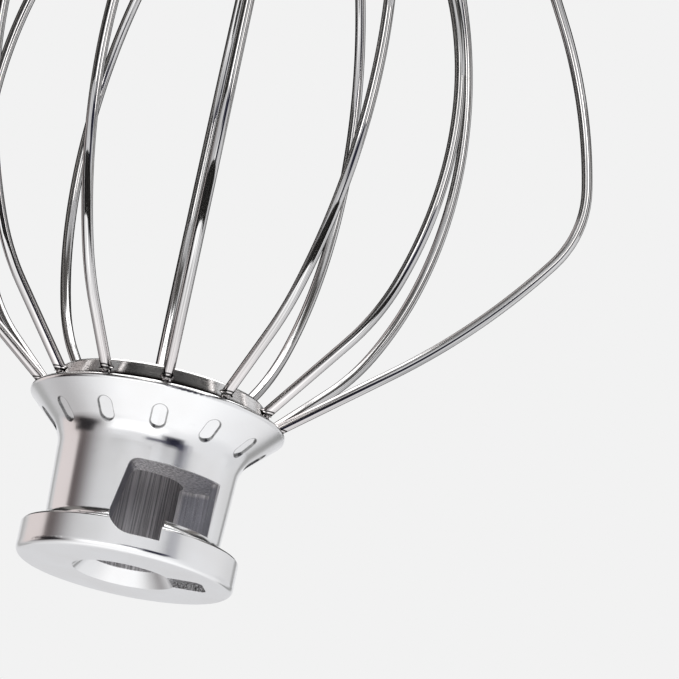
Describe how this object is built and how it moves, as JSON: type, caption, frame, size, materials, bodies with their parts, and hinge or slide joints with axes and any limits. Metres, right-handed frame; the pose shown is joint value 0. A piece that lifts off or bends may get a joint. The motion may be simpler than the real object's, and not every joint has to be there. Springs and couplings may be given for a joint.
{
  "type": "stand mixer wire whip",
  "caption": "Whip attachment: a flanged metal hub with a shaft bore and bayonet window, holding a balloon cage of round wire loops around a core plug.",
  "frame": {"origin": "centre of the hub's flat drive face, on the axis of the shaft bore", "axes": "+Z along the axis from the drive face to the tip of the whip; the wide wire loop lies in the XZ plane; the bayonet window faces -Y"},
  "size_m": [0.1236, 0.0882, 0.1479],
  "materials": {
    "hub_metal": "turned and polished, with a rough machined socket",
    "core_metal": "turned, with fine circular lines",
    "wire_steel": "polished stainless wire"
  },
  "bodies": {
    "root": {"hub": "hub_metal", "core_plug": "core_metal", "wide_wire": "wire_steel", "balloon_wire_1": "wire_steel", "balloon_wire_2": "wire_steel", "balloon_wire_3": "wire_steel", "balloon_wire_4": "wire_steel", "balloon_wire_5": "wire_steel"}
  },
  "joints": []
}
